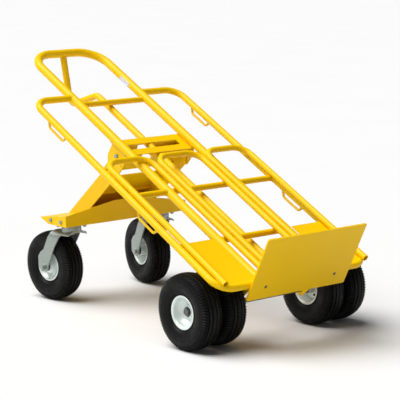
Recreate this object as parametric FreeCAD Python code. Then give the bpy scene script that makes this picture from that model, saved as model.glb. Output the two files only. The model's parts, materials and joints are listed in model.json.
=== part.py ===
import FreeCAD, Part
import math
import os
from FreeCAD import Placement, Rotation, Vector

# Convertible hand truck, standing on its dual front wheels and its swing-out caster frame.
# X is across the truck, -Y is the toe plate end, +Y is the handle end, +Z is up, floor at Z = 0.
# The main frame is drawn lying flat, as (x, v, w): v runs up the frame from the toe plate,
# w is square to the frame, towards the load. It is then tilted to its slope and moved into place.

# ---- driving dimensions (mm, degrees)
LEAN = 27.0                # slope of the main frame above the floor
WHEEL_R = 130.0            # pneumatic tyre, outside
TYRE_HALF = 43.5           # half the tyre width
RIM_R = 57.5               # rim flange
AXLE_V, AXLE_W = 121.0, -158.0          # front axle, in the frame's (v, w)
WHEEL_IN_X, WHEEL_OUT_X = 225.0, 331.5  # the two wheels of a front pair

MAIN_OD, MAIN_X = 31.75, 156.5
RAIL_OD, RAIL_X = 25.4, 333.0
LOOP_OD, LOOP_W = 22.2, 21.6
CROSS_OD = 22.2
WALL = 2.1
HANDLE_V, HANDLE_R = 1506.0, 95.0       # handle bow centre line and its bend
LEG_TOP_V = 1400.0                      # where the straight legs meet the bow
RAIL_TOP_V, RAIL_LOW_V, RAIL_R = 1192.0, 24.0, 60.0
UPPER_V, MIDDLE_V, LOWER_V = 1154.0, 563.0, 267.0
UPPER_W = -7.7
LOOP_TOP_V, LOOP_R, LOOP_HALF = 745.0, 55.0, 95.5
LOOP_CENTRES = {"left": -223.5, "centre": 0.0, "right": 223.5}

TOE_T = 6.0
TOE_HALF, TOE_LOW_W, TOE_TOP_W = 222.0, -48.0, 197.0
PLATE_T = 3.0
PLATE_LOW_V, PLATE_TOP_V, PLATE_HALF = 821.0, 920.0, 163.0
SLOT_LOW_V, SLOT_TOP_V, SLOT_HALF = 855.0, 886.0, 117.0

SPINE_OD = 25.4
SPINE_W = -(MAIN_OD / 2 + PLATE_T + SPINE_OD / 2)
GRIP_TOP_V = 1508.0
GRIP_BACK = (1377.0, -157.0)            # corner of the grip loop behind the handle
GRIP_FOOT_V = 1243.0                    # where the grip loop turns into the spine

PIVOT_V, PIVOT_W = 867.0, -47.0         # caster frame pivot
BOLT_D = 12.7
LOCK_V, LOCK_W = 897.0, -125.0          # lock pin, engaged position
LOCK_D = 9.5
LOCK_TRAVEL = 10.0
BRACKET_T = 4.8
ARM_T = 5.0
GAP = 0.5                               # between a fixed and a moving plate
RUN = 0.05                              # radial clearance of a running fit
ARM_ANGLE = 39.6                        # slope of the arms below level
ARM_FRONT, ARM_REAR = -50.0, 10.0       # arm edges, square to the arm, from the pivot
EAR_V, EAR_LOW_W = 917.0, -89.0         # ear of the arm that carries the pivot channel

CHANNEL_HALF = 282.0
CHANNEL_T = 4.0
CHANNEL_Z, CHANNEL_TOP_Z, CHANNEL_REAR_Z = 300.0, 342.0, 322.0
LIP_HALF, LIP_Z = 60.0, 378.0           # level top of the channel's front plate
CASTER_X = 208.5
TRAIL = 100.0
CASTER_YAW = {"left": 5.0, "right": -9.0}
FORK_IN, FORK_T = 48.0, 5.0
AXLE_D = 15.875

SIN, COS = math.sin(math.radians(LEAN)), math.cos(math.radians(LEAN))
BASE_Z = WHEEL_R - AXLE_V * SIN - AXLE_W * COS
FRONT_Y = -TOE_TOP_W * SIN
REAR_Y = HANDLE_V * COS + MAIN_OD / 2
BASE_Y = -(FRONT_Y + REAR_Y) / 2        # centres the truck on the origin
AXLE_Y = BASE_Y + AXLE_V * COS - AXLE_W * SIN
MAIN_R, RAIL_TUBE_R, LOOP_TUBE_R = MAIN_OD / 2, RAIL_OD / 2, LOOP_OD / 2
AXLE_BRACKET_X = MAIN_X + MAIN_R        # outer face of the axle brackets
BRACKET_X = MAIN_X - BRACKET_T / 2      # inner face of the pivot brackets, under the legs
ARM_X = BRACKET_X - GAP - ARM_T         # inner face of the arms
CHANNEL_Y = BASE_Y + 946.0              # front face of the caster channel
CHANNEL_REAR_Y = BASE_Y + 1105.0
CHANNEL_FOOT_Y = BASE_Y + 1058.0
KINGPIN_Y = BASE_Y + 1015.0
SIDES = {"left": -1.0, "right": 1.0}
ALONG_X = Vector(1, 0, 0)

os.makedirs("parts", exist_ok=True)


def save(name, *solids):
    shape = solids[0] if len(solids) == 1 else Part.Compound(list(solids))
    shape.exportStep("parts/" + name + ".step")


def lean(shape):
    """Move a shape from the flat frame to its place above the floor."""
    tilt = Placement(Vector(0, BASE_Y, BASE_Z), Rotation(ALONG_X, LEAN))
    out = shape.copy()
    out.Placement = tilt.multiply(out.Placement)
    return out


def frame_point(v, w):
    """Y and Z of a point of the flat frame."""
    return BASE_Y + v * COS - w * SIN, BASE_Z + v * SIN + w * COS


def rod(start, end, diameter):
    axis = Vector(*end) - Vector(*start)
    return Part.makeCylinder(diameter / 2, axis.Length, Vector(*start), axis)


def rounded_path(points, radius):
    """Straight runs through the points, joined by tangent arcs."""
    pts = [Vector(*p) for p in points]
    edges = []
    here = pts[0]
    for before, corner, after in zip(pts, pts[1:], pts[2:]):
        to_back = (before - corner).normalize()
        to_next = (after - corner).normalize()
        half = to_back.getAngle(to_next) / 2
        cut = radius / math.tan(half)
        start, end = corner + to_back * cut, corner + to_next * cut
        middle_dir = (to_back + to_next).normalize()
        middle = corner + middle_dir * (radius / math.sin(half) - radius)
        edges.append(Part.LineSegment(here, start).toShape())
        edges.append(Part.Arc(start, middle, end).toShape())
        here = end
    edges.append(Part.LineSegment(here, pts[-1]).toShape())
    return Part.Wire(edges)


def bar(points, diameter, radius=1.0):
    """A round bar bent along a path."""
    if len(points) == 2:
        return rod(points[0], points[1], diameter)
    path = rounded_path(points, radius)
    start_dir = Vector(*points[1]) - Vector(*points[0])
    ring = Part.Wire(Part.makeCircle(diameter / 2, Vector(*points[0]), start_dir))
    return path.makePipeShell([ring], True, True)


def tube(points, diameter, radius=1.0, wall=WALL):
    return bar(points, diameter, radius).cut(bar(points, diameter - 2 * wall, radius))


def plate_yz(outline, x_low, thickness):
    """A flat plate square to X. The outline is (y, z) pairs."""
    pts = [Vector(x_low, y, z) for y, z in outline]
    face = Part.Face(Part.makePolygon(pts + [pts[0]]))
    return face.extrude(Vector(thickness, 0, 0))


def round_edges_x(shape, radius):
    """Round the edges of a plate that run along X."""
    def along_x(edge):
        a, b = edge.Vertexes[0].Point, edge.Vertexes[-1].Point
        return abs(a.y - b.y) < 1e-6 and abs(a.z - b.z) < 1e-6 and abs(a.x - b.x) > 1e-6
    return shape.makeFillet(radius, [e for e in shape.Edges if along_x(e)])


def hexagon(across_flats, height, base, direction):
    radius = across_flats / math.sqrt(3)
    turn = Rotation(Vector(0, 0, 1), Vector(*direction))
    pts = []
    for i in range(7):
        a = math.radians(60 * i)
        corner = Vector(radius * math.cos(a), radius * math.sin(a), 0)
        pts.append(Vector(*base) + turn.multVec(corner))
    step = Vector(*direction).normalize() * height
    return Part.Face(Part.makePolygon(pts)).extrude(step)


def block(x0, x1, y0, y1, z0, z1):
    return Part.makeBox(x1 - x0, y1 - y0, z1 - z0, Vector(x0, y0, z0))


def main_leg_rods():
    ends = ((0, 0), (HANDLE_V, 0))
    return [rod((s * MAIN_X, *ends[0]), (s * MAIN_X, *ends[1]), MAIN_OD) for s in (-1, 1)]


def cut_all(shape, tools):
    for tool in tools:
        shape = shape.cut(tool)
    return shape


# ---- main frame: tubes
def main_legs():
    for side, s in SIDES.items():
        leg = tube([(s * MAIN_X, TOE_T, 0), (s * MAIN_X, LEG_TOP_V, 0)], MAIN_OD)
        save("main_leg_" + side, lean(leg))


def handle_bow():
    points = [(-MAIN_X, LEG_TOP_V, 0), (-MAIN_X, HANDLE_V, 0),
              (MAIN_X, HANDLE_V, 0), (MAIN_X, LEG_TOP_V, 0)]
    save("handle_bow", lean(tube(points, MAIN_OD, HANDLE_R)))


def spine():
    top = GRIP_FOOT_V - 40.0
    save("centre_spine", lean(tube([(0, TOE_T, SPINE_W), (0, top, SPINE_W)], SPINE_OD)))
    points = [(0, GRIP_TOP_V, 0), (0, *GRIP_BACK), (0, GRIP_FOOT_V, SPINE_W), (0, top, SPINE_W)]
    bow = rod((-60, HANDLE_V, 0), (60, HANDLE_V, 0), MAIN_OD)
    grip = tube(points, SPINE_OD, 40.0).cut(bow)
    save("grip_loop", lean(grip.cut(block(-60, 60, HANDLE_V, HANDLE_V + 60, -60, 60))))


def crossbars():
    legs = main_leg_rods()
    upper = tube([(-MAIN_X, UPPER_V, UPPER_W), (MAIN_X, UPPER_V, UPPER_W)], CROSS_OD)
    save("crossbar_upper", lean(cut_all(upper, legs).Solids[0]))
    lower = tube([(-MAIN_X, LOWER_V, 0), (MAIN_X, LOWER_V, 0)], CROSS_OD)
    save("crossbar_lower", lean(cut_all(lower, legs).Solids[0]))
    rails = [rod((s * RAIL_X, 0, 0), (s * RAIL_X, RAIL_TOP_V, 0), RAIL_OD) for s in (-1, 1)]
    middle = tube([(-RAIL_X, MIDDLE_V, 0), (RAIL_X, MIDDLE_V, 0)], CROSS_OD)
    pieces = [p for p in cut_all(middle, legs + rails).Solids if p.BoundBox.XLength > 50]
    save("crossbar_middle", *[lean(piece) for piece in pieces])


def rail_path(s):
    return [(s * MAIN_X, RAIL_TOP_V, 0), (s * RAIL_X, RAIL_TOP_V, 0),
            (s * RAIL_X, RAIL_LOW_V, 0), (s * MAIN_X, RAIL_LOW_V, 0)]


def rail_bars():
    return [bar(rail_path(s), RAIL_OD, RAIL_R) for s in (-1, 1)]


def side_rails():
    legs = main_leg_rods()
    for side, s in SIDES.items():
        rail = cut_all(tube(rail_path(s), RAIL_OD, RAIL_R), legs)
        rail = max(rail.Solids, key=lambda solid: solid.Volume)
        save("side_rail_" + side, lean(rail))


def load_loops():
    """Loops that carry the load, notched over the legs, rails and crossbars they rest on."""
    bars = [rod((-RAIL_X, v, 0), (RAIL_X, v, 0), CROSS_OD) for v in (LOWER_V, MIDDLE_V)]
    supports = main_leg_rods() + bars + rail_bars()
    for side, centre in LOOP_CENTRES.items():
        x0, x1 = centre - LOOP_HALF, centre + LOOP_HALF
        points = [(x0, RAIL_LOW_V, LOOP_W), (x0, LOOP_TOP_V, LOOP_W),
                  (x1, LOOP_TOP_V, LOOP_W), (x1, RAIL_LOW_V, LOOP_W)]
        loop = cut_all(tube(points, LOOP_OD, LOOP_R), supports)
        save("load_loop_" + side, lean(max(loop.Solids, key=lambda solid: solid.Volume)))


def tie_rings():
    """Bent rod loops under the side rails, to tie or hook a strap on."""
    rod_d, low_w, top_w, slope = 9.0, -31.0, -RAIL_TUBE_R + 1.0, 14.0
    rings = []
    for s in SIDES.values():
        for v0, v1 in ((380.0, 495.0), (960.0, 1075.0)):
            x = s * RAIL_X
            points = [(x, v0, top_w), (x, v0 + slope, low_w), (x, v1 - slope, low_w), (x, v1, top_w)]
            ring = bar(points, rod_d, 10.0)
            ring = ring.cut(rod((x, v0 - 40, 0), (x, v1 + 40, 0), RAIL_OD))
            rings.append(lean(max(ring.Solids, key=lambda solid: solid.Volume)))
    save("tie_rings", *rings)


# ---- main frame: plates
def toe_plate():
    plate = block(-TOE_HALF, TOE_HALF, 0, TOE_T, TOE_LOW_W, TOE_TOP_W)
    upright = [e for e in plate.Edges if abs(e.Vertexes[0].Point.y - e.Vertexes[-1].Point.y) > 1]
    plate = plate.makeFillet(5.0, upright)
    hole_d, bolt_d, plug_l = 13.0, 9.5, 20.0
    plugs, bolts = [], []
    for s in (-1, 1):
        x = s * MAIN_X
        plate = plate.cut(rod((x, -1, 0), (x, TOE_T - 2.0, 0), hole_d))
        plate = plate.cut(rod((x, -1, 0), (x, TOE_T + 1, 0), bolt_d + 0.3))
        plug = rod((x, TOE_T, 0), (x, TOE_T + plug_l, 0), MAIN_OD - 2 * WALL)
        plugs.append(lean(plug.cut(rod((x, 0, 0), (x, 60, 0), bolt_d))))
        head = rod((x, 1.0, 0), (x, TOE_T - 2.0, 0), hole_d - 1.0)
        head = head.cut(hexagon(5.5, 2.0, (x, 0.9, 0), (0, 1, 0)))
        bolts.append(lean(head.fuse(rod((x, TOE_T - 2.5, 0), (x, TOE_T + 16, 0), bolt_d))))
    save("toe_plate", lean(plate))
    save("leg_plugs", *plugs)
    save("toe_bolts", *bolts)


def fenders():
    """Flat guards over the wheel pairs, welded to the rail and tacked to the leg."""
    top_w = LOOP_W - LOOP_TUBE_R - 0.2
    slot = 5.0
    guards = []
    for s in SIDES.values():
        x0, x1 = sorted((s * (AXLE_BRACKET_X + slot), s * RAIL_X))
        plate = block(x0, x1, RAIL_LOW_V, LOWER_V, top_w - PLATE_T, top_w)
        plate = plate.cut(bar(rail_path(s), RAIL_OD, RAIL_R))
        plate = max(plate.Solids, key=lambda solid: solid.Volume)
        tack = block(*sorted((s * MAIN_X, s * (AXLE_BRACKET_X + slot))), 44.0, 56.0, top_w - PLATE_T, top_w)
        guards.append(lean(plate.fuse(cut_all(tack, main_leg_rods())).removeSplitter()))
    save("fenders", *guards)


def cross_plate():
    low, high = -MAIN_R - PLATE_T, -MAIN_R
    plate = block(-PLATE_HALF, PLATE_HALF, PLATE_LOW_V, PLATE_TOP_V, low, high)
    slot = block(-SLOT_HALF, SLOT_HALF, SLOT_LOW_V, SLOT_TOP_V, low - 1, high + 1)
    upright = [e for e in slot.Edges if abs(e.Vertexes[0].Point.z - e.Vertexes[-1].Point.z) > 1]
    save("cross_plate", lean(plate.cut(slot.makeFillet(3.0, upright))))


def pivot_brackets():
    under = -MAIN_R - PLATE_T
    outline = [(PLATE_LOW_V, under), (908, under), (914, -44), (916, -72), (905, -96), (917, -130),
               (893, -150), (868, -124), (850, -107), (829, -94), (819, -56)]
    holes = ((PIVOT_V, PIVOT_W, BOLT_D + 0.3), (LOCK_V, LOCK_W, LOCK_D + 2 * RUN), (831.5, -67.0, 8.0))
    plates = []
    for s in SIDES.values():
        x = BRACKET_X if s > 0 else -BRACKET_X - BRACKET_T
        plate = round_edges_x(plate_yz(outline, x, BRACKET_T), 5.0)
        for v, w, d in holes:
            plate = plate.cut(rod((x - 1, v, w), (x + BRACKET_T + 1, v, w), d))
        plates.append(lean(plate))
    save("pivot_brackets", *plates)


def pivot_bolts():
    bolts = []
    for s in (-1, 1):
        outer, inner = BRACKET_X + BRACKET_T, ARM_X
        shank = rod((s * outer, PIVOT_V, PIVOT_W), (s * (inner - 12), PIVOT_V, PIVOT_W), BOLT_D)
        head = rod((s * outer, PIVOT_V, PIVOT_W), (s * (outer + 1.2), PIVOT_V, PIVOT_W), 17.0)
        cap = hexagon(15.0, 7.0, (s * outer, PIVOT_V, PIVOT_W), (s, 0, 0))
        nut = hexagon(19.0, 9.0, (s * (inner - 0.4), PIVOT_V, PIVOT_W), (-s, 0, 0))
        bolts.append(lean(shank.fuse([head, cap, nut])))
    save("pivot_bolts", *bolts)


def axle_brackets():
    tip_r = 21.0
    plates = []
    for s in SIDES.values():
        x = AXLE_BRACKET_X - BRACKET_T if s > 0 else -AXLE_BRACKET_X
        outline = [(28, -4), (215, -4), (AXLE_V + 19.0, AXLE_W - 8.0), (AXLE_V - 17.0, AXLE_W - 12.0)]
        plate = plate_yz(outline, x, BRACKET_T)
        plate = plate.fuse(rod((x, AXLE_V, AXLE_W), (x + BRACKET_T, AXLE_V, AXLE_W), 2 * tip_r))
        plate = plate.removeSplitter()
        plate = plate.cut(rod((x - 1, AXLE_V, AXLE_W), (x + 9, AXLE_V, AXLE_W), AXLE_D + 0.2))
        plates.append(lean(cut_all(plate, main_leg_rods() + rail_bars())))
    save("axle_brackets", *plates)


# ---- front axle
def front_axle():
    z = WHEEL_R
    half = WHEEL_OUT_X + 18.0
    save("front_axle", rod((-half, AXLE_Y, z), (half, AXLE_Y, z), AXLE_D))
    nuts = []
    spacers = []
    for s in (-1, 1):
        at = WHEEL_OUT_X + 10.4
        nut = rod((s * at, AXLE_Y, z), (s * (at + 1.6), AXLE_Y, z), 25.0)
        nut = nut.fuse(hexagon(22.0, 6.0, (s * (at + 1.6), AXLE_Y, z), (s, 0, 0)))
        nuts.append(nut.cut(rod((-400, AXLE_Y, z), (400, AXLE_Y, z), AXLE_D + 0.2)))
        for x0, x1 in ((AXLE_BRACKET_X, WHEEL_IN_X - 30.4), (WHEEL_IN_X + 10.4, WHEEL_OUT_X - 30.4)):
            sleeve = rod((s * x0, AXLE_Y, z), (s * x1, AXLE_Y, z), 22.0)
            spacers.append(sleeve.cut(rod((-400, AXLE_Y, z), (400, AXLE_Y, z), AXLE_D + 0.2)))
    save("axle_nuts", *nuts)
    save("axle_spacers", *spacers)


# ---- wheels, drawn about the X axis through the origin, outboard side towards +X
def revolve_x(face):
    return face.revolve(Vector(0, 0, 0), ALONG_X, 360)


def profile(segments):
    """A closed profile of lines and arcs. A segment is (end,) or (through, end)."""
    edges = []
    here = Vector(*segments[0][-1])
    for step in segments[1:]:
        end = Vector(*step[-1])
        if len(step) == 1:
            edges.append(Part.LineSegment(here, end).toShape())
        else:
            edges.append(Part.Arc(here, Vector(*step[0]), end).toShape())
        here = end
    return Part.Face(Part.Wire(edges))


def tyre():
    w, r = TYRE_HALF, WHEEL_R
    bead_x, bead_r = 28.0, 51.5
    shoulder = (36.5, 122.5)
    outer = [((-bead_x, bead_r, 0),), ((-30.0, 60.0, 0),),
             ((-w, 95.0, 0), (-shoulder[0], shoulder[1], 0)), ((0, r, 0), (*shoulder, 0)),
             ((w, 95.0, 0), (30.0, 60.0, 0)), ((bead_x, bead_r, 0),), ((19.0, bead_r, 0),)]
    inner = [((36.5, 92.0, 0), (29.5, 114.5, 0)), ((0, 121.0, 0), (-29.5, 114.5, 0)),
             ((-36.5, 92.0, 0), (-19.0, bead_r, 0)), ((-bead_x, bead_r, 0),)]
    return revolve_x(profile(outer + inner))


def rim(hub_in, hub_out):
    """Steel rim: barrel with flanges, dished web, and the hub tube in its middle."""
    t = 2.5
    barrel = [((-33.0, RIM_R, 0),), ((-30.5, RIM_R, 0),), ((-28.5, 51.0, 0),), ((28.5, 51.0, 0),),
              ((30.5, RIM_R, 0),), ((33.0, RIM_R, 0),), ((31.0, 51.0 - t, 0),),
              ((-31.0, 51.0 - t, 0),), ((-33.0, RIM_R, 0),)]
    web_x = hub_out - 12.0
    web = [((web_x + 14.0, 49.5, 0),), ((web_x + 3.0, 40.0, 0), (web_x, 20.5, 0)),
           ((web_x, 18.0, 0),), ((web_x - 3.0, 18.0, 0),), ((web_x - 3.0, 21.0, 0),),
           ((web_x, 42.0, 0), (web_x + 10.0, 49.5, 0)), ((web_x + 14.0, 49.5, 0),)]
    hub = rod((hub_in, 0, 0), (hub_out, 0, 0), 41.0)
    shape = revolve_x(profile(barrel)).fuse([revolve_x(profile(web)), hub])
    return shape.cut(rod((hub_in - 1, 0, 0), (hub_out + 1, 0, 0), 35.0)).removeSplitter()


def bearings(hub_in, hub_out):
    """A ball bearing pressed into each end of the hub, running on the axle."""
    rings = []
    for x in (hub_in, hub_out - 11.0):
        ring = rod((x, 0, 0), (x + 11.0, 0, 0), 34.96)
        ring = ring.cut(rod((x - 1, 0, 0), (x + 12, 0, 0), AXLE_D + 2 * RUN))
        groove = [((x - 1, 11.5, 0),), ((x + 1.2, 11.5, 0),), ((x + 1.2, 15.0, 0),),
                  ((x - 1, 15.0, 0),), ((x - 1, 11.5, 0),)]
        ring = ring.cut(revolve_x(profile(groove)))
        rings.append(ring)
    return rings


def place(shape, flip, point):
    """Turn the outboard side of a wheel part outwards, and put it in place."""
    out = shape.copy()
    if flip:
        out.rotate(Vector(0, 0, 0), Vector(0, 0, 1), 180)
    out.translate(Vector(*point))
    return out


def wheel(name, hub_in, hub_out, flip, point, settle=None):
    finish = settle or (lambda shape: shape)
    parts = (("tyre", [tyre()]), ("rim", [rim(hub_in, hub_out)]), ("bearings", bearings(hub_in, hub_out)))
    for kind, solids in parts:
        save("%s_%s" % (name, kind), *[finish(place(q, flip, point)) for q in solids])


def front_wheels():
    for side, s in SIDES.items():
        for pos, x in (("inner", WHEEL_IN_X), ("outer", WHEEL_OUT_X)):
            wheel("wheel_%s_%s" % (pos, side), -30.0, 10.0, s < 0, (s * x, AXLE_Y, WHEEL_R))


# ---- swing-out caster frame
ARM_DIR = (math.cos(math.radians(ARM_ANGLE)), -math.sin(math.radians(ARM_ANGLE)))
ARM_NORMAL = (-ARM_DIR[1], ARM_DIR[0])
PIVOT_Y, PIVOT_Z = frame_point(PIVOT_V, PIVOT_W)


def arm_point(s, n):
    """Y and Z of a point s down the arm and n square to it, from the pivot."""
    return (PIVOT_Y + s * ARM_DIR[0] + n * ARM_NORMAL[0],
            PIVOT_Z + s * ARM_DIR[1] + n * ARM_NORMAL[1])


def arm_foot(n):
    """Where an edge of the arm meets the sloping top of the channel."""
    fall = (CHANNEL_TOP_Z - CHANNEL_REAR_Z) / (CHANNEL_REAR_Y - CHANNEL_Y)
    y, z = arm_point(0, n)
    above = z - CHANNEL_TOP_Z + (y - CHANNEL_Y) * fall
    return arm_point(above / (-ARM_DIR[1] - ARM_DIR[0] * fall), n)


def arms():
    """Flat arms, each with an ear behind the pivot and its front edge cut to the channel."""
    head_r = 18.5
    seat_w = -MAIN_R - PLATE_T - 0.4
    foot_y, foot_z = arm_foot(ARM_REAR)
    front_foot = arm_foot(ARM_FRONT)
    for side, s in SIDES.items():
        x = ARM_X if s > 0 else -ARM_X - ARM_T
        outline = [arm_point(24, ARM_FRONT), front_foot, (foot_y, foot_z),
                   arm_point(100, ARM_REAR), frame_point(EAR_V - 12, EAR_LOW_W),
                   frame_point(EAR_V, EAR_LOW_W + 12), frame_point(EAR_V, seat_w),
                   frame_point(PIVOT_V, seat_w), arm_point(-16, -10)]
        plate = plate_yz(outline, x, ARM_T)
        head = rod((x, PIVOT_Y, PIVOT_Z), (x + ARM_T, PIVOT_Y, PIVOT_Z), 2 * head_r)
        plate = plate.fuse(head).removeSplitter()
        plate = plate.cut(lean(block(-400, 400, 700, 1000, seat_w, 100)))
        lock_y, lock_z = frame_point(LOCK_V, LOCK_W)
        for y, z, d in ((PIVOT_Y, PIVOT_Z, BOLT_D + 2 * RUN), (lock_y, lock_z, LOCK_D + 0.6)):
            plate = plate.cut(rod((x - 1, y, z), (x + ARM_T + 1, y, z), d))
        plate = plate.cut(front_plate())
        save("arm_" + side, max(plate.Solids, key=lambda solid: solid.Volume))


def notch_prism():
    """Clearance for the spine at the top of the pivot channel."""
    top, low, high = 36.0, 24.0, 70.0
    z0, z1 = PIVOT_Z - 62.0, PIVOT_Z + 60.0
    pts = [Vector(-low, PIVOT_Y - 90, z0), Vector(low, PIVOT_Y - 90, z0),
           Vector(top, PIVOT_Y - 90, z1), Vector(-top, PIVOT_Y - 90, z1)]
    return Part.Face(Part.makePolygon(pts + [pts[0]])).extrude(Vector(0, 90 + high, 0))


def pivot_channel():
    """Folded channel between the arm heads: its top flange bears on the cross plate."""
    thick, foot, face = 4.0, 112.0, 3.4
    seat_w = -MAIN_R - PLATE_T - 0.4
    x = ARM_X
    web = plate_yz([arm_point(20, face), arm_point(foot, face),
                    arm_point(foot, face + thick), arm_point(20, face + thick)], -x, 2 * x)
    floor_w = EAR_LOW_W + 4.0
    seat = lean(block(-x, x, SLOT_TOP_V + 1.0, EAR_V, seat_w - thick, seat_w))
    rear = lean(block(-x, x, EAR_V - thick, EAR_V, floor_w, seat_w))
    floor = lean(block(-x, x, 887.5, EAR_V, floor_w, floor_w + thick))
    shape = web.fuse([seat, rear, floor]).cut(notch_prism())
    shape = shape.cut(rod((-x, PIVOT_Y, PIVOT_Z), (x, PIVOT_Y, PIVOT_Z), 28.0))
    save("pivot_channel", shape.removeSplitter())


def arm_web():
    """Plate that ties the arms together, with a short fold above the caster channel."""
    thick, top, fold, fold_d = 4.0, 158.0, 261.0, 11.0
    x = ARM_X
    face = ARM_REAR - thick
    web = plate_yz([arm_point(top, face), arm_foot(face), arm_foot(ARM_REAR),
                    arm_point(top, ARM_REAR)], -x, 2 * x)
    ledge = plate_yz([arm_point(fold, face - fold_d), arm_point(fold + 3, face - fold_d),
                      arm_point(fold + 3, face + 1), arm_point(fold, face + 1)], -x, 2 * x)
    save("arm_web", web.fuse(ledge).removeSplitter())


def front_plate():
    """Front of the caster channel, rising from its ends to a level lip in the middle."""
    half = CHANNEL_HALF - CHANNEL_T
    outline = [(-half, CHANNEL_Z), (half, CHANNEL_Z), (half, CHANNEL_TOP_Z), (LIP_HALF, LIP_Z),
               (-LIP_HALF, LIP_Z), (-half, CHANNEL_TOP_Z)]
    pts = [Vector(x, CHANNEL_Y, z) for x, z in outline]
    return Part.Face(Part.makePolygon(pts + [pts[0]])).extrude(Vector(0, CHANNEL_T, 0))


def caster_channel():
    t, half = CHANNEL_T, CHANNEL_HALF - CHANNEL_T
    bottom = block(-half, half, CHANNEL_Y, CHANNEL_FOOT_Y, CHANNEL_Z, CHANNEL_Z + t)
    top = plate_yz([(CHANNEL_Y, CHANNEL_TOP_Z), (CHANNEL_REAR_Y, CHANNEL_REAR_Z),
                    (CHANNEL_REAR_Y, CHANNEL_REAR_Z - t), (CHANNEL_Y, CHANNEL_TOP_Z - t)], -half, 2 * half)
    shape = bottom.fuse([front_plate(), top]).removeSplitter()
    for s in (-1, 1):
        for x in (-38.0, 38.0):
            for y in (-30.0, 30.0):
                spot = (s * CASTER_X + x, KINGPIN_Y + y)
                shape = shape.cut(rod((*spot, CHANNEL_Z - 1), (*spot, CHANNEL_Z + t + 1), 10.0))
    save("caster_channel", shape)


def end_plates():
    t = CHANNEL_T
    outline = [(CHANNEL_Y, CHANNEL_Z), (CHANNEL_FOOT_Y, CHANNEL_Z), (CHANNEL_REAR_Y, CHANNEL_REAR_Z - t),
               (CHANNEL_REAR_Y, CHANNEL_REAR_Z), (CHANNEL_Y, CHANNEL_TOP_Z)]
    plates = []
    bolts = []
    for s in SIDES.values():
        x = CHANNEL_HALF - t if s > 0 else -CHANNEL_HALF
        plate = plate_yz(outline, x, t)
        for y in (BASE_Y + 977.0, BASE_Y + 1041.0):
            z = CHANNEL_Z + 17.0
            plate = plate.cut(rod((x - 1, y, z), (x + t + 1, y, z), 8.4))
            face = s * CHANNEL_HALF
            shank = rod((face, y, z), (face - s * 14.0, y, z), 8.0)
            bolts.append(shank.fuse(hexagon(13.0, 5.0, (face, y, z), (s, 0, 0))))
        plates.append(plate)
    save("end_plates", *plates)
    save("end_bolts", *bolts)


def lock_pin():
    """Pull pin in a barrel outside the right bracket. Pushed in, it enters the arm's hole."""
    at = (LOCK_V, LOCK_W)
    barrel_l, barrel_d, knob_d = 32.0, 28.0, 28.0
    face = BRACKET_X + BRACKET_T
    barrel = rod((face, *at), (face + barrel_l, *at), barrel_d)
    save("lock_barrel", lean(barrel.cut(rod((face - 1, *at), (face + 60, *at), LOCK_D + 2 * RUN))))
    tip, knob_at = BRACKET_X + 0.5, face + barrel_l + LOCK_TRAVEL
    cone = Part.makeCone(LOCK_D / 2 - 1.2, LOCK_D / 2, 2.5, Vector(tip, *at), ALONG_X)
    pin = rod((tip + 2.5, *at), (knob_at + 14.0, *at), LOCK_D)
    knob = rod((knob_at, *at), (knob_at + 14.0, *at), knob_d)
    grip = Part.makeTorus(knob_d / 2, 2.0, Vector(knob_at + 7.0, *at), ALONG_X)
    save("lock_pin", lean(pin.fuse([cone, knob.cut(grip)]).removeSplitter()))


# ---- casters, drawn about the kingpin axis, wheel trailing towards +Y
def caster_place(side):
    s = SIDES[side]

    def move(shape):
        out = shape.copy()
        out.rotate(Vector(0, 0, 0), Vector(0, 0, 1), CASTER_YAW[side])
        out.translate(Vector(s * CASTER_X, KINGPIN_Y, 0))
        return out
    return move


def caster_plate(side):
    s = SIDES[side]
    t = 6.0
    plate = block(-51, 51, -42, 42, CHANNEL_Z - t, CHANNEL_Z)
    plate = plate.makeFillet(8.0, [e for e in plate.Edges
                                   if abs(e.Vertexes[0].Point.z - e.Vertexes[-1].Point.z) > 1])
    nuts = []
    for x in (-38.0, 38.0):
        for y in (-30.0, 30.0):
            plate = plate.cut(rod((x, y, CHANNEL_Z - t - 1), (x, y, CHANNEL_Z + 1), 10.0))
            bolt = rod((x, y, CHANNEL_Z - t - 8), (x, y, CHANNEL_Z + CHANNEL_T), 9.5)
            bolt = bolt.fuse([hexagon(14.0, 6.0, (x, y, CHANNEL_Z - t), (0, 0, -1)),
                              hexagon(14.0, 5.0, (x, y, CHANNEL_Z + CHANNEL_T), (0, 0, 1))])
            nuts.append(bolt)
    cup = rod((0, 0, CHANNEL_Z - t - 7), (0, 0, CHANNEL_Z - t), 68.0)
    kingpin = rod((0, 0, CHANNEL_Z - t - 30), (0, 0, CHANNEL_Z - t), 14.0)
    nut = hexagon(24.0, 8.0, (0, 0, CHANNEL_Z - t - 35.5), (0, 0, 1))
    shift = Vector(s * CASTER_X, KINGPIN_Y, 0)
    plate = plate.fuse([cup, kingpin, nut]).removeSplitter()
    plate.translate(shift)
    for nut in nuts:
        nut.translate(shift)
    save("caster_plate_" + side, plate)
    return nuts


def edges_along_y(shape, z):
    """The level edges of a block that run along Y at height z."""
    return [e for e in shape.Edges if e.BoundBox.YLength > 20 and abs(e.CenterOfMass.z - z) < 0.01]


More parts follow.
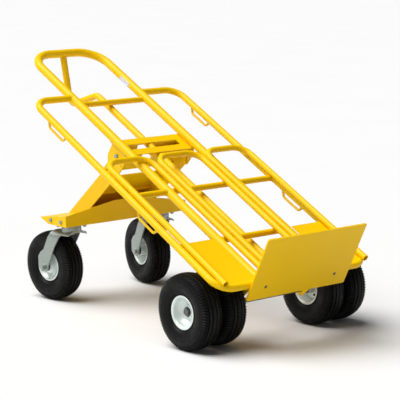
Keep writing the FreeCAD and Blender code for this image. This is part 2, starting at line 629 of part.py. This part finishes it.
def fork_body(crown_top):
    """A strip bent to a U over the wheel, its sides cut to the outline of the legs."""
    y, z = TRAIL, WHEEL_R
    out, low = FORK_IN + FORK_T, crown_top - FORK_T
    outer = block(-out, out, -50, 150, 90, crown_top)
    outer = outer.makeFillet(30.0, edges_along_y(outer, crown_top))
    inner = block(-FORK_IN, FORK_IN, -51, 151, 89, low)
    inner = inner.makeFillet(25.0, edges_along_y(inner, low))
    outline = [(-8, crown_top + 1), (15, z + 118), (42, z + 77), (72, z + 18), (y - 18, z - 10),
               (y - 8, z - 19), (y + 16, z - 19), (y + 32, z - 4), (y + 33, z + 36), (y + 22, z + 52),
               (y + 2, z + 66), (70, z + 128), (62, crown_top + 1)]
    side = round_edges_x(plate_yz(outline, -out - 1, 2 * out + 2), 4.0)
    crown = block(-out, out, -36, 62, crown_top - 14.0, crown_top)
    crown = crown.makeFillet(16.0, [e for e in crown.Edges
                                    if e.BoundBox.ZLength > 1 and e.Vertexes[0].Point.y < 0])
    return outer.cut(inner).common(side.fuse(crown))


def caster_fork(side):
    move = caster_place(side)
    crown_low, crown_top = CHANNEL_Z - 32.0, CHANNEL_Z - 27.0
    out = FORK_IN + FORK_T
    race = rod((0, 0, crown_top - 4.5), (0, 0, CHANNEL_Z - 13.5), 74.0)
    axle = (TRAIL, WHEEL_R)
    fork = fork_body(crown_top).fuse(race).removeSplitter()
    fork = fork.cut(rod((0, 0, crown_low - 1), (0, 0, CHANNEL_Z), 14.0 + 2 * RUN))
    cone = Part.makeCone(31.0, 33.0, 4.0, Vector(0, 0, CHANNEL_Z - 17.0))
    fork = fork.cut(cone)
    fork = fork.cut(rod((-60, *axle), (60, *axle), AXLE_D + 0.2))
    save("caster_fork_" + side, move(fork))
    bolt = rod((-out, *axle), (out + 14.0, *axle), AXLE_D)
    head = hexagon(22.0, 8.0, (-out, *axle), (-1, 0, 0))
    nut = hexagon(22.0, 10.0, (out, *axle), (1, 0, 0))
    hub_gap = FORK_IN - 38.4
    sleeves = []
    for a, b in ((-FORK_IN, -FORK_IN + hub_gap), (FORK_IN - hub_gap, FORK_IN)):
        sleeves.append(rod((a, *axle), (b, *axle), 22.0))
    save("caster_axle_" + side, move(place_out(side, bolt.fuse([head, nut] + sleeves))))
    return move


def place_out(side, shape):
    """Put the nut end of a caster axle on the outboard side."""
    if side == "right":
        return shape
    return shape.mirror(Vector(0, 0, 0), Vector(1, 0, 0))


def casters():
    bolts = []
    for side in SIDES:
        bolts += caster_plate(side)
        move = caster_fork(side)
        wheel("caster_wheel_" + side, -38.0, 38.0, side == "left", (0, TRAIL, WHEEL_R), move)
    save("caster_bolts", *bolts)


main_legs()
handle_bow()
spine()
crossbars()
side_rails()
load_loops()
tie_rings()
toe_plate()
fenders()
cross_plate()
pivot_brackets()
pivot_bolts()
axle_brackets()
front_axle()
front_wheels()
arms()
pivot_channel()
arm_web()
caster_channel()
end_plates()
lock_pin()
casters()
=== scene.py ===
"""Looks of the convertible hand truck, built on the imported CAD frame. Metres, Z up, floor at Z = 0."""
import bpy
import math
from mathutils import Matrix, Vector
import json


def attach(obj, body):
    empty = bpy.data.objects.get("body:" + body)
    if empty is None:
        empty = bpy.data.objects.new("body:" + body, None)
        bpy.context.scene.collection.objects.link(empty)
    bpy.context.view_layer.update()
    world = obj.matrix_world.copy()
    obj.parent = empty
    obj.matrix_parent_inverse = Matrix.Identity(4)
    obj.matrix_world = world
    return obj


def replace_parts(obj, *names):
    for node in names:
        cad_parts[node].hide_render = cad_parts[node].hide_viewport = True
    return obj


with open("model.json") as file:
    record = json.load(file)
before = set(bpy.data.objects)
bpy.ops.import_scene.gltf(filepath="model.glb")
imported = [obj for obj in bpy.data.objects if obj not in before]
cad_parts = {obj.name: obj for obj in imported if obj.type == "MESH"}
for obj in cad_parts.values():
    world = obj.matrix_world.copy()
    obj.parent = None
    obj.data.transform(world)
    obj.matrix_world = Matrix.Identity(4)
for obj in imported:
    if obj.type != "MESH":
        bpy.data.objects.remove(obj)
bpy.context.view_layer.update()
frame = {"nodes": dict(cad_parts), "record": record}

# ---- driving sizes, as in the CAD
MM = 0.001
LEAN = math.radians(27.0)
WHEEL_R = 130.0 * MM
TYRE_HALF = 43.5 * MM
MAIN_R, MAIN_X = 15.875 * MM, 156.5 * MM
RAIL_R, RAIL_X = 12.7 * MM, 333.0 * MM
CROSS_R = 11.1 * MM
TOE_T = 6.0 * MM
SPINE_R, SPINE_W = 12.7 * MM, -31.575 * MM
RAIL_TOP_V, RAIL_LOW_V = 1192.0 * MM, 24.0 * MM
UPPER_V, UPPER_W, MIDDLE_V, LOWER_V = 1154.0 * MM, -7.7 * MM, 563.0 * MM, 267.0 * MM
PLATE_LOW_V, PLATE_TOP_V, PLATE_W = 821.0 * MM, 920.0 * MM, -15.875 * MM
PLATE_T, PLATE_HALF = 3.0 * MM, 163.0 * MM
BRACKET_HALF_T = 2.4 * MM
PIVOT = (867.0 * MM, -47.0 * MM)
ARM_X, ARM_SLOPE, ARM_REAR = 148.6 * MM, math.radians(39.6), 10.0 * MM
SIDES = ((-1, "left"), (1, "right"))

# The flat frame (x, v, w) is tilted about the front wheels' axle, which the joint places in the world.
AXLE_V, AXLE_W = 121.0 * MM, -158.0 * MM
AXLE = Vector(next(j["pos_m"] for j in frame["record"]["behaviour"]["joints"]
                   if j["name"] == "wheel_outer_left_spin"))
TILT = Matrix.Rotation(LEAN, 4, "X")
FRAME_TO_WORLD = (Matrix.Translation((0, AXLE.y, AXLE.z)) @ TILT
                  @ Matrix.Translation((0, -AXLE_V, -AXLE_W)))


# ---- materials
def set_range(node, near, far, low, high):
    """A Map Range node that takes near..far to low..high."""
    for i, value in zip((1, 2, 3, 4), (near, far, low, high)):
        node.inputs[i].default_value = value


class Material:
    """A principled material and its node tree."""

    def __init__(self, name, sockets):
        self.m = bpy.data.materials.new(name)
        self.m.use_nodes = True
        self.tree = self.m.node_tree
        self.bsdf = self.tree.nodes["Principled BSDF"]
        self.place = self.node("ShaderNodeTexCoord").outputs["Object"]
        for key, value in sockets.items():
            self.bsdf.inputs[key].default_value = value

    def node(self, kind, **settings):
        made = self.tree.nodes.new(kind)
        for key, value in settings.items():
            if key in made.inputs:
                made.inputs[key].default_value = value
            else:
                setattr(made, key, value)
        return made

    def link(self, out, into):
        self.tree.links.new(out, into)

    def noise(self, scale, detail=3.0, rough=0.5):
        made = self.node("ShaderNodeTexNoise", Scale=scale, Detail=detail, Roughness=rough)
        self.link(self.place, made.inputs["Vector"])
        return made.outputs["Fac"]

    def spread(self, source, low, high, near=0.35, far=0.65):
        made = self.node("ShaderNodeMapRange")
        set_range(made, near, far, low, high)
        self.link(source, made.inputs[0])
        return made.outputs[0]

    def blend(self, factor, first, second):
        """A colour between two, each a colour or a socket."""
        made = self.node("ShaderNodeMix", data_type="RGBA")
        self.link(factor, made.inputs["Factor"])
        for i, value in ((6, first), (7, second)):      # the node's colour inputs A and B
            if isinstance(value, tuple):
                made.inputs[i].default_value = (*value, 1.0)
            else:
                self.link(value, made.inputs[i])
        return made.outputs[2]                          # its colour result

    def bump(self, height, strength, distance):
        made = self.node("ShaderNodeBump", Strength=strength, Distance=distance)
        self.link(height, made.inputs["Height"])
        self.link(made.outputs["Normal"], self.bsdf.inputs["Normal"])

    def colour(self, socket):
        self.link(socket, self.bsdf.inputs["Base Color"])

    def roughness(self, socket):
        self.link(socket, self.bsdf.inputs["Roughness"])


def yellow_paint():
    """Satin powder coat: a fine orange peel, faint drift of tone, a few dull scuffs."""
    p = Material("yellow_powder_coat", {"Coat Weight": 0.08, "Coat Roughness": 0.22,
                                        "Specular IOR Level": 0.12})
    drift = p.spread(p.noise(7.0, 2.0), 0.0, 1.0)
    tone = p.blend(drift, (0.865, 0.530, 0.0), (0.875, 0.540, 0.0))
    scuff = p.spread(p.noise(110.0, 6.0, 0.7), 0.0, 1.0, 0.72, 0.84)
    p.colour(p.blend(scuff, tone, (0.85, 0.52, 0.002)))
    p.roughness(p.spread(p.noise(25.0, 3.0), 0.34, 0.39))
    p.bump(p.noise(500.0, 2.0), 0.08, 0.0001)
    return p.m


def tyre_rubber():
    """Black rubber with a dry bloom in its noise and a fine moulded grain."""
    p = Material("tyre_rubber", {"Specular IOR Level": 0.16})
    bloom = p.spread(p.noise(28.0, 5.0, 0.6), 0.0, 1.0)
    p.colour(p.blend(bloom, (0.0014, 0.0014, 0.0013), (0.0034, 0.0033, 0.0031)))
    p.roughness(p.spread(p.noise(60.0, 4.0), 0.42, 0.62))
    p.bump(p.noise(1500.0, 2.0), 0.12, 0.0003)
    return p.m


def rim_paint():
    """Pale silver enamel on pressed steel."""
    p = Material("rim_enamel", {"Metallic": 0.25, "Coat Weight": 0.25, "Coat Roughness": 0.15})
    drift = p.spread(p.noise(14.0, 3.0), 0.0, 1.0)
    p.colour(p.blend(drift, (0.70, 0.77, 0.74), (0.79, 0.85, 0.82)))
    p.roughness(p.spread(p.noise(90.0, 3.0), 0.30, 0.42))
    p.bump(p.noise(600.0, 2.0), 0.08, 0.0004)
    return p.m


def zinc_plate_and_shade():
    """Zinc plating, with faint spangle and dull handling marks. Its base colour is kept dark as painted
    shade of the zinc parts lying in the shade under the frame.
    """
    p = Material("zinc_plating_and_painted_shade", {"Metallic": 0.6})
    cells = p.node("ShaderNodeTexVoronoi", Scale=260.0)
    p.link(p.place, cells.inputs["Vector"])
    spangle = p.spread(cells.outputs["Distance"], 0.0, 1.0, 0.1, 0.7)
    # the spangle runs between two dark greys: the spangle is the zinc's own, the darkness is painted
    # shade, chiefly of the caster forks under the caster channel
    p.colour(p.blend(spangle, (0.27, 0.31, 0.28), (0.36, 0.40, 0.37)))
    p.roughness(p.spread(p.noise(55.0, 5.0, 0.6), 0.30, 0.48))
    p.bump(p.noise(420.0, 3.0), 0.06, 0.0005)
    return p.m


def dark_steel():
    """Oiled black steel of the axle, its nuts, the toe bolts and the bearings. On the axle, its nuts and
    the toe bolts the darkness is also painted shade of the recessed hub centres and the bolt recesses.
    """
    p = Material("black_oxide_steel", {"Metallic": 0.9})
    drift = p.spread(p.noise(80.0, 4.0), 0.0, 1.0)
    p.colour(p.blend(drift, (0.10, 0.10, 0.105), (0.19, 0.19, 0.195)))
    p.roughness(p.spread(p.noise(130.0, 4.0), 0.32, 0.5))
    return p.m


def sticker_film():
    """Blank silver film, slightly crinkled."""
    p = Material("silver_film", {"Metallic": 0.35, "Roughness": 0.3})
    drift = p.spread(p.noise(60.0, 3.0), 0.0, 1.0)
    p.colour(p.blend(drift, (0.60, 0.62, 0.68), (0.78, 0.80, 0.86)))
    p.bump(p.noise(240.0, 3.0), 0.10, 0.0006)
    return p.m


def floor_paint():
    """Pale matt floor."""
    p = Material("pale_floor", {"Roughness": 0.7})
    drift = p.spread(p.noise(1.5, 3.0), 0.0, 1.0)
    p.colour(p.blend(drift, (0.71, 0.71, 0.71), (0.72, 0.72, 0.72)))
    return p.m


YELLOW, RUBBER, ENAMEL, ZINC_AND_SHADE, DARK, FILM = (
    yellow_paint(), tyre_rubber(), rim_paint(), zinc_plate_and_shade(), dark_steel(), sticker_film())


# ---- mesh helpers
def smooth_mesh(name, verts, faces, material, crease=None):
    """A mesh shaded smooth, with crisp edges where faces meet at more than crease degrees."""
    mesh = bpy.data.meshes.new(name)
    mesh.from_pydata(verts, [], faces)
    mesh.polygons.foreach_set("use_smooth", [True] * len(mesh.polygons))
    mesh.materials.append(material)
    if crease:
        mesh.set_sharp_from_angle(angle=math.radians(crease))
    return mesh


def add_piece(name, mesh, body, place):
    """A named piece that rides on a body."""
    piece = bpy.data.objects.new(name, mesh)
    piece.matrix_world = place
    bpy.context.scene.collection.objects.link(piece)
    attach(piece, body)
    return piece


def ring_faces(rings, around, closed_rings=True, closed_around=True):
    """Quads between neighbouring rings of vertices, or rows of them where not closed."""
    faces = []
    for i in range(rings if closed_rings else rings - 1):
        j = (i + 1) % rings
        for k in range(around if closed_around else around - 1):
            n = (k + 1) % around
            faces.append((i * around + k, j * around + k, j * around + n, i * around + n))
    return faces


def lathe(profile, steps, closed=True):
    """A profile of (x, r), in metres, turned about the X axis."""
    verts = []
    for i in range(steps):
        a = 2 * math.pi * i / steps
        verts += [(x, r * math.cos(a), r * math.sin(a)) for x, r in profile]
    return verts, ring_faces(steps, len(profile), closed_around=closed)


def arc_points(start, through, end, count):
    """Points on the circle through three (x, r) points, without the first."""
    (ax, ay), (bx, by), (cx, cy) = start, through, end
    d = 2 * (ax * (by - cy) + bx * (cy - ay) + cx * (ay - by))
    ux = ((ax**2 + ay**2) * (by - cy) + (bx**2 + by**2) * (cy - ay) + (cx**2 + cy**2) * (ay - by)) / d
    uy = ((ax**2 + ay**2) * (cx - bx) + (bx**2 + by**2) * (ax - cx) + (cx**2 + cy**2) * (bx - ax)) / d
    r = math.hypot(ax - ux, ay - uy)
    a0, a1 = math.atan2(ay - uy, ax - ux), math.atan2(cy - uy, cx - ux)
    turn = (a1 - a0 + math.pi) % (2 * math.pi) - math.pi
    return [(ux + r * math.cos(a0 + turn * i / count), uy + r * math.sin(a0 + turn * i / count))
            for i in range(1, count + 1)]


# ---- wheels, drawn in mm about X with the outboard side towards +X
LUGS = 80                       # tread blocks round a tyre
WHEEL_HUB = (-30.0, 10.0)       # ends of the front wheels' hub tube, inboard and outboard
CASTER_HUB = (-38.0, 38.0)
WEB_INSET = 12.0                # from the hub tube's outboard end to the rim's web


def tread_profile():
    """Half the tyre's outside, from the middle of the tread to the bead, as (x, r, kind).

    The kind says what tyre_mesh does there: "wave" zigzags, "lug" cuts blocks, "fine" ripples.
    """
    crown_r = 92.57
    crown_mid = WHEEL_R / MM - crown_r
    groove_half, groove_depth, wall, margin = 2.3, 5.0, 0.8, 2.4
    shoulder, bulge, bead_seat = (36.5, 122.5), (TYRE_HALF / MM, 95.0), (30.0, 60.0)
    lug_low, fine_low = 111.0, 101.0
    ridges, ridge_height = ((96.0, 99.0), (84.0, 86.5), (68.0, 71.0)), 0.7

    def crown(x, sunk=0.0):
        return crown_mid + math.sqrt(crown_r**2 - x**2) - sunk
    points = [(0.0, crown(0.0), "")]
    for middle in (8.5, 22.5):          # circumferential grooves
        near, far = middle - groove_half, middle + groove_half
        points.append((near - margin, crown(near - margin), ""))
        points.append((near, crown(near), "wave"))
        points.append((near + wall, crown(middle, groove_depth), "wave"))
        points.append((far - wall, crown(middle, groove_depth), "wave"))
        points.append((far, crown(far), "wave"))
    points.append((26.6, crown(26.6), ""))
    for x in (27.2, 31.0, 34.5):
        points.append((x, crown(x), "lug"))
    for x, r in [shoulder] + arc_points(shoulder, bulge, bead_seat, 26):
        kind = "lug" if r > lug_low else "fine" if r > fine_low else ""
        sunk = 0.0 if any(low < r < high for low, high in ridges) else ridge_height
        points.append((x - sunk, r, kind))
    return points + [(28.6, 56.0, ""), (28.0, 51.5, "")]


def tyre_mesh():
    """A hollow tyre with its tread cut in."""
    half = tread_profile()
    outside = [(-x, r, kind) for x, r, kind in reversed(half[1:])] + half
    inside = [(20.0, 51.5, ""), (30.0, 70.0, ""), (34.0, 95.0, ""), (24.0, 112.0, ""), (0.0, 119.0, "")]
    inside += [(-x, r, kind) for x, r, kind in reversed(inside[:-1])]
    profile = outside + inside
    lug_depth = (0.0, 0.0, 3.2, 3.2)    # two steps on a block and two between blocks
    wave = (-1.1, 0.0, 1.1, 0.0)
    ripple = 0.55
    into_side, into_tread = 0.45, 0.8   # shares of a lug's depth
    steps = len(lug_depth) * LUGS
    verts = []
    for i in range(steps):
        a = 2 * math.pi * i / steps
        for x, r, kind in profile:
            if kind == "wave":
                x += wave[i % 4]
            if kind == "lug":
                depth = lug_depth[(i + (2 if x < 0 else 0)) % 4]    # blocks alternate across the tread
                x -= math.copysign(into_side * depth, x)
                r -= into_tread * depth
            if kind == "fine":
                x -= math.copysign(ripple * (i % 2), x)
            verts.append((x * MM, r * MM * math.cos(a), r * MM * math.sin(a)))
    return smooth_mesh("tyre", verts, ring_faces(steps, len(profile)), RUBBER, crease=38.0)


def rim_mesh(hub_in, hub_out):
    """Pressed rim: rolled flanges, deep dish, welded hub tube open at both ends."""
    web = hub_out - WEB_INSET
    profile = [(28.6, 51.2), (29.4, 54.6)]
    profile += arc_points((30.2, 56.4), (31.8, 57.5), (33.0, 56.2), 6)
    profile += [(32.2, 52.0), (30.4, 49.6), (27.6, 48.4)]
    profile += arc_points((27.6, 48.4), (web + 12.0, 44.2), (web + 5.0, 36.0), 8)
    profile += arc_points((web + 5.0, 36.0), (web + 1.6, 29.0), (web + 1.8, 23.4), 6)
    profile += arc_points((web + 1.8, 23.4), (web + 2.6, 21.5), (web + 4.6, 20.6), 4)   # weld fillet
    profile += [(hub_out - 0.8, 20.5), (hub_out, 19.7), (hub_out, 17.9), (hub_out - 0.5, 17.5)]
    profile += [(hub_in + 0.5, 17.5), (hub_in, 18.1), (hub_in, 19.7), (hub_in + 0.8, 20.5)]
    profile += [(web - 3.6, 20.5), (web - 1.4, 24.0), (web - 1.0, 29.0), (web + 2.2, 37.0)]
    profile += [(web + 9.0, 45.5), (20.0, 48.0), (0.0, 47.6), (-20.0, 48.0), (-29.4, 48.8)]
    profile += [(-32.2, 52.0), (-33.0, 56.2), (-31.8, 57.5), (-30.2, 56.4), (-29.4, 54.6)]
    profile += [(-28.6, 51.2), (-20.0, 50.6), (20.0, 50.6)]
    verts, faces = lathe([(x * MM, r * MM) for x, r in profile], 96)
    return smooth_mesh("rim", verts, faces, ENAMEL, crease=40.0)


def valve_mesh(name, hub_out):
    """Rubber valve with its cap, standing inboard of the rim's web."""
    foot = hub_out - WEB_INSET - 0.4        # starts inside the web's thickness
    profile = [(0.0, 5.4), (2.5, 4.8), (5.0, 3.6), (11.0, 3.3),
               (11.2, 4.1), (17.0, 3.9), (18.0, 2.8), (18.0, 0.1)]
    verts, faces = lathe([((foot - x) * MM, r * MM) for x, r in profile], 20, closed=False)
    outward = [face[::-1] for face in faces]        # the profile runs towards -X
    return smooth_mesh(name, verts, outward, RUBBER)


def wheels():
    """Tread, dish and valve of every wheel, each placed on its joint."""
    tyre = tyre_mesh()
    hubs = {"wheel": WHEEL_HUB, "caster": CASTER_HUB}
    rims = {kind: rim_mesh(*hub) for kind, hub in hubs.items()}
    valve_turn, valve_r = math.radians(215.0), 36.0 * MM
    valve_spot = Matrix.Rotation(valve_turn, 4, "X") @ Matrix.Translation((0, valve_r, 0))
    for joint in frame["record"]["behaviour"]["joints"]:
        body = joint["child"]
        if not body.startswith(("wheel_", "caster_wheel_")):
            continue
        centre, axis = Vector(joint["pos_m"]), Vector(joint["axis"])
        heading = math.atan2(axis.y, axis.x)
        if centre.x < 0:
            heading += math.pi          # outboard is the other way
        place = Matrix.Translation(centre) @ Matrix.Rotation(heading, 4, "Z")
        kind = body.split("_")[0]
        valve = valve_mesh(body + "_valve", hubs[kind][1])
        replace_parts(add_piece(body + "_tread", tyre, body, place), body + "_tyre")
        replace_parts(add_piece(body + "_dish", rims[kind], body, place), body + "_rim")
        add_piece(body + "_valve", valve, body, place @ valve_spot)


# ---- welds and other small detail, drawn in the flat frame
def bead(name, path, radius, closed, body="frame", place=FRAME_TO_WORLD):
    """A rippled weld bead along a path of points."""
    around = 8
    ripple, ripple_turn = 0.14, 2.4             # share of the radius, and radians from point to point
    slant = Vector((0.31, 0.52, 0.79))          # along no seam, so it always gives a sideways direction
    pts = [Vector(p) for p in path]
    count = len(pts)
    verts = []
    for i, p in enumerate(pts):
        ahead = pts[(i + 1) % count] if closed or i < count - 1 else p
        behind = pts[i - 1] if closed or i > 0 else p
        along = (ahead - behind).normalized()
        side = along.cross(slant).normalized()
        up = along.cross(side)
        size = radius * (1.0 + ripple * math.cos(ripple_turn * i))
        for k in range(around):
            a = 2 * math.pi * k / around
            verts.append(p + size * (math.cos(a) * side + math.sin(a) * up))
    mesh = smooth_mesh(name, verts, ring_faces(count, around, closed), YELLOW)
    add_piece(name, mesh, body, place)


def saddle(outward, x, v, w, bar_r, tube_r):
    """The joint line of a bar along X, at (v, w), with the wall of an upright tube at x."""
    path = []
    steps = 72
    for i in range(steps):
        a = 2 * math.pi * i / steps
        dv, dw = bar_r * math.cos(a), bar_r * math.sin(a)
        off = math.sqrt(max(tube_r**2 - (w + dw) ** 2, 0.0))
        path.append((x + outward * off, v + dv, w + dw))
    return path


def foot_ring(x, w, r, steps):
    """A ring on the toe plate, round the foot of an upright tube."""
    turns = [2 * math.pi * i / steps for i in range(steps)]
    return [(x + r * math.cos(a), TOE_T + 0.8 * MM, w + r * math.sin(a)) for a in turns]


def frame_welds():
    """Joints of the crossbars, side rails and toe plate with the upright tubes."""
    size = 2.1 * MM
    bars = (("upper", UPPER_V, UPPER_W), ("middle", MIDDLE_V, 0.0), ("lower", LOWER_V, 0.0))
    for s, side in SIDES:
        leg, rail = s * MAIN_X, s * RAIL_X
        for name, v, w in bars:
            bead("weld_%s_%s" % (name, side), saddle(-s, leg, v, w, CROSS_R, MAIN_R), size, True)
        bead("weld_middle_outer_" + side, saddle(s, leg, MIDDLE_V, 0.0, CROSS_R, MAIN_R), size, True)
        bead("weld_middle_rail_" + side, saddle(-s, rail, MIDDLE_V, 0.0, CROSS_R, RAIL_R), size, True)
        for name, v in (("top", RAIL_TOP_V), ("foot", RAIL_LOW_V)):
            bead("weld_rail_%s_%s" % (name, side), saddle(s, leg, v, 0.0, RAIL_R, MAIN_R), size, True)
        bead("weld_leg_foot_" + side, foot_ring(leg, 0.0, MAIN_R + 0.6 * MM, 90), 2.4 * MM, True)
    bead("weld_spine_foot", foot_ring(0.0, SPINE_W, SPINE_R + 0.5 * MM, 72), 2.2 * MM, True)


def straight(name, start, end, radius=2.0 * MM, **where):
    """A weld bead along a straight seam."""
    start, end = Vector(start), Vector(end)
    ripple_pitch = 2.2 * MM
    count = max(8, round((end - start).length / ripple_pitch))
    bead(name, [start.lerp(end, i / count) for i in range(count + 1)], radius, False, **where)


def plate_welds():
    """Seams of the cross plate with the legs and the spine, and of the pivot brackets under it."""
    under = PLATE_W - PLATE_T
    low, high = PLATE_LOW_V + PLATE_T, PLATE_TOP_V - PLATE_T
    seams = (("plate_inner", MAIN_X - 9.0 * MM, low, high, PLATE_W + 1.2 * MM),
             ("plate_outer", PLATE_HALF - 0.4 * MM, low, high, PLATE_W + 1.0 * MM),
             ("bracket", MAIN_X + BRACKET_HALF_T + 1.0 * MM, low, high - 10.0 * MM, under - 1.0 * MM),
             ("spine_plate", 9.0 * MM, low + 2.0 * MM, low + 26.0 * MM, under - 1.2 * MM))
    for s, side in SIDES:
        for name, x, start, end, w in seams:
            straight("weld_%s_%s" % (name, side), (s * x, start, w), (s * x, end, w))


def arm_point(down_arm, square):
    """A point of the arms, in the world, by its distances from the pivot down the arm and square to it."""
    pivot = FRAME_TO_WORLD @ Vector((0, *PIVOT))
    down = Vector((0, math.cos(ARM_SLOPE), -math.sin(ARM_SLOPE)))
    return pivot + down_arm * down + square * Vector((0, math.sin(ARM_SLOPE), math.cos(ARM_SLOPE)))


def arm_welds():
    """Seams of the arms with the arm web and with the pivot channel."""
    seams = (("web", 160.0 * MM, 292.0 * MM, ARM_REAR), ("channel", 24.0 * MM, 108.0 * MM, 3.0 * MM))
    for s, side in SIDES:
        across = Vector((s * (ARM_X - 0.6 * MM), 0, 0))
        for name, start, end, square in seams:
            straight("weld_%s_%s" % (name, side), arm_point(start, square) + across,
                     arm_point(end, square) + across, 1.8 * MM, body="caster_frame",
                     place=Matrix.Identity(4))


def label():
    """A blank silver sticker wrapped part of the way round the right leg."""
    low, high = 1247.0 * MM, 1307.0 * MM
    first, sweep = 150.0, 100.0         # degrees round the leg
    wraps, lengths = 24, 12
    r = MAIN_R + 0.25 * MM
    verts = []
    for i in range(lengths + 1):
        v = low + (high - low) * i / lengths
        for k in range(wraps + 1):
            a = math.radians(first + sweep * k / wraps)
            verts.append((MAIN_X + r * math.cos(a), v, r * math.sin(a)))
    faces = ring_faces(lengths + 1, wraps + 1, closed_rings=False, closed_around=False)
    add_piece("label", smooth_mesh("label", verts, faces, FILM), "frame", FRAME_TO_WORLD)


# ---- materials of the CAD nodes that keep their shape
# The axle, its nuts and the toe bolts get dark steel whatever their slots say: partly their own dark
# steel, partly painted shade of the recessed hub centres and the bolt recesses.
DARK_STEEL_AND_SHADE_NODES = ("axle_nuts", "front_axle", "toe_bolts")


def finish_cad():
    """Materials of the CAD nodes, by slot, apart from the axle, its nuts and the toe bolts, which take the
    dark steel partly as painted shade of their recesses.
    """
    slots = {entry["node"]: entry["material_slot"] for entry in frame["record"]["subparts"]}
    looks = {"yellow_paint": YELLOW, "zinc": ZINC_AND_SHADE, "bare_steel": DARK, "bearing_steel": DARK,
             "rim_paint": ENAMEL, "tyre": RUBBER}
    for name, node in frame["nodes"].items():
        # the dark steel on these nodes is partly painted shade
        look = DARK if name in DARK_STEEL_AND_SHADE_NODES else looks[slots[name]]
        for i in range(len(node.material_slots)):
            node.material_slots[i].material = look


# ---- stage
def floor():
    """A plain floor at Z = 0."""
    bpy.ops.mesh.primitive_plane_add(size=60.0, location=(0, 0, 0))
    plane = bpy.context.object
    plane.name = "floor"
    plane.data.materials.append(floor_paint())


def room():
    """A world with white walls up to just over the horizon and a dim ceiling."""
    wall_top, ceiling = 0.05, 0.17      # heights of the view direction, 0 level and 1 straight up
    wall_light, ceiling_light = 1.0, 0.10
    world = bpy.data.worlds.new("studio")
    world.use_nodes = True
    sky = world.node_tree
    background = sky.nodes["Background"]
    background.inputs["Color"].default_value = (1.0, 1.0, 1.0, 1.0)
    direction = sky.nodes.new("ShaderNodeTexCoord")
    split = sky.nodes.new("ShaderNodeSeparateXYZ")
    fade = sky.nodes.new("ShaderNodeMapRange")
    set_range(fade, wall_top, ceiling, wall_light, ceiling_light)
    sky.links.new(direction.outputs["Generated"], split.inputs[0])
    sky.links.new(split.outputs["Z"], fade.inputs[0])
    sky.links.new(fade.outputs[0], background.inputs["Strength"])
    bpy.context.scene.world = world


def lamp():
    """A wide sun, high on the left towards the handle end, for soft shadows."""
    data = bpy.data.lights.new("sky_panel", "SUN")
    data.energy, data.angle = 4.7, math.radians(55.0)
    panel = bpy.data.objects.new("sky_panel", data)
    panel.rotation_euler = Vector((0.42, -0.30, -1.0)).to_track_quat("-Z", "Y").to_euler()
    bpy.context.scene.collection.objects.link(panel)


def camera():
    """The camera solved from the photograph, in front and to the left."""
    data = bpy.data.cameras.new("camera")
    data.sensor_width, data.lens = 36.0, 148.6
    data.clip_end = 100.0
    seat = bpy.data.objects.new("camera", data)
    seat.location = (-3.7027, -4.5517, 1.3762)
    seat.rotation_euler = [math.radians(a) for a in (80.638, 0.466, -39.921)]
    bpy.context.scene.collection.objects.link(seat)
    bpy.context.scene.camera = seat
    bpy.context.scene.view_settings.view_transform = "Standard"


wheels()
frame_welds()
plate_welds()
arm_welds()
label()
finish_cad()
floor()
room()
lamp()
camera()
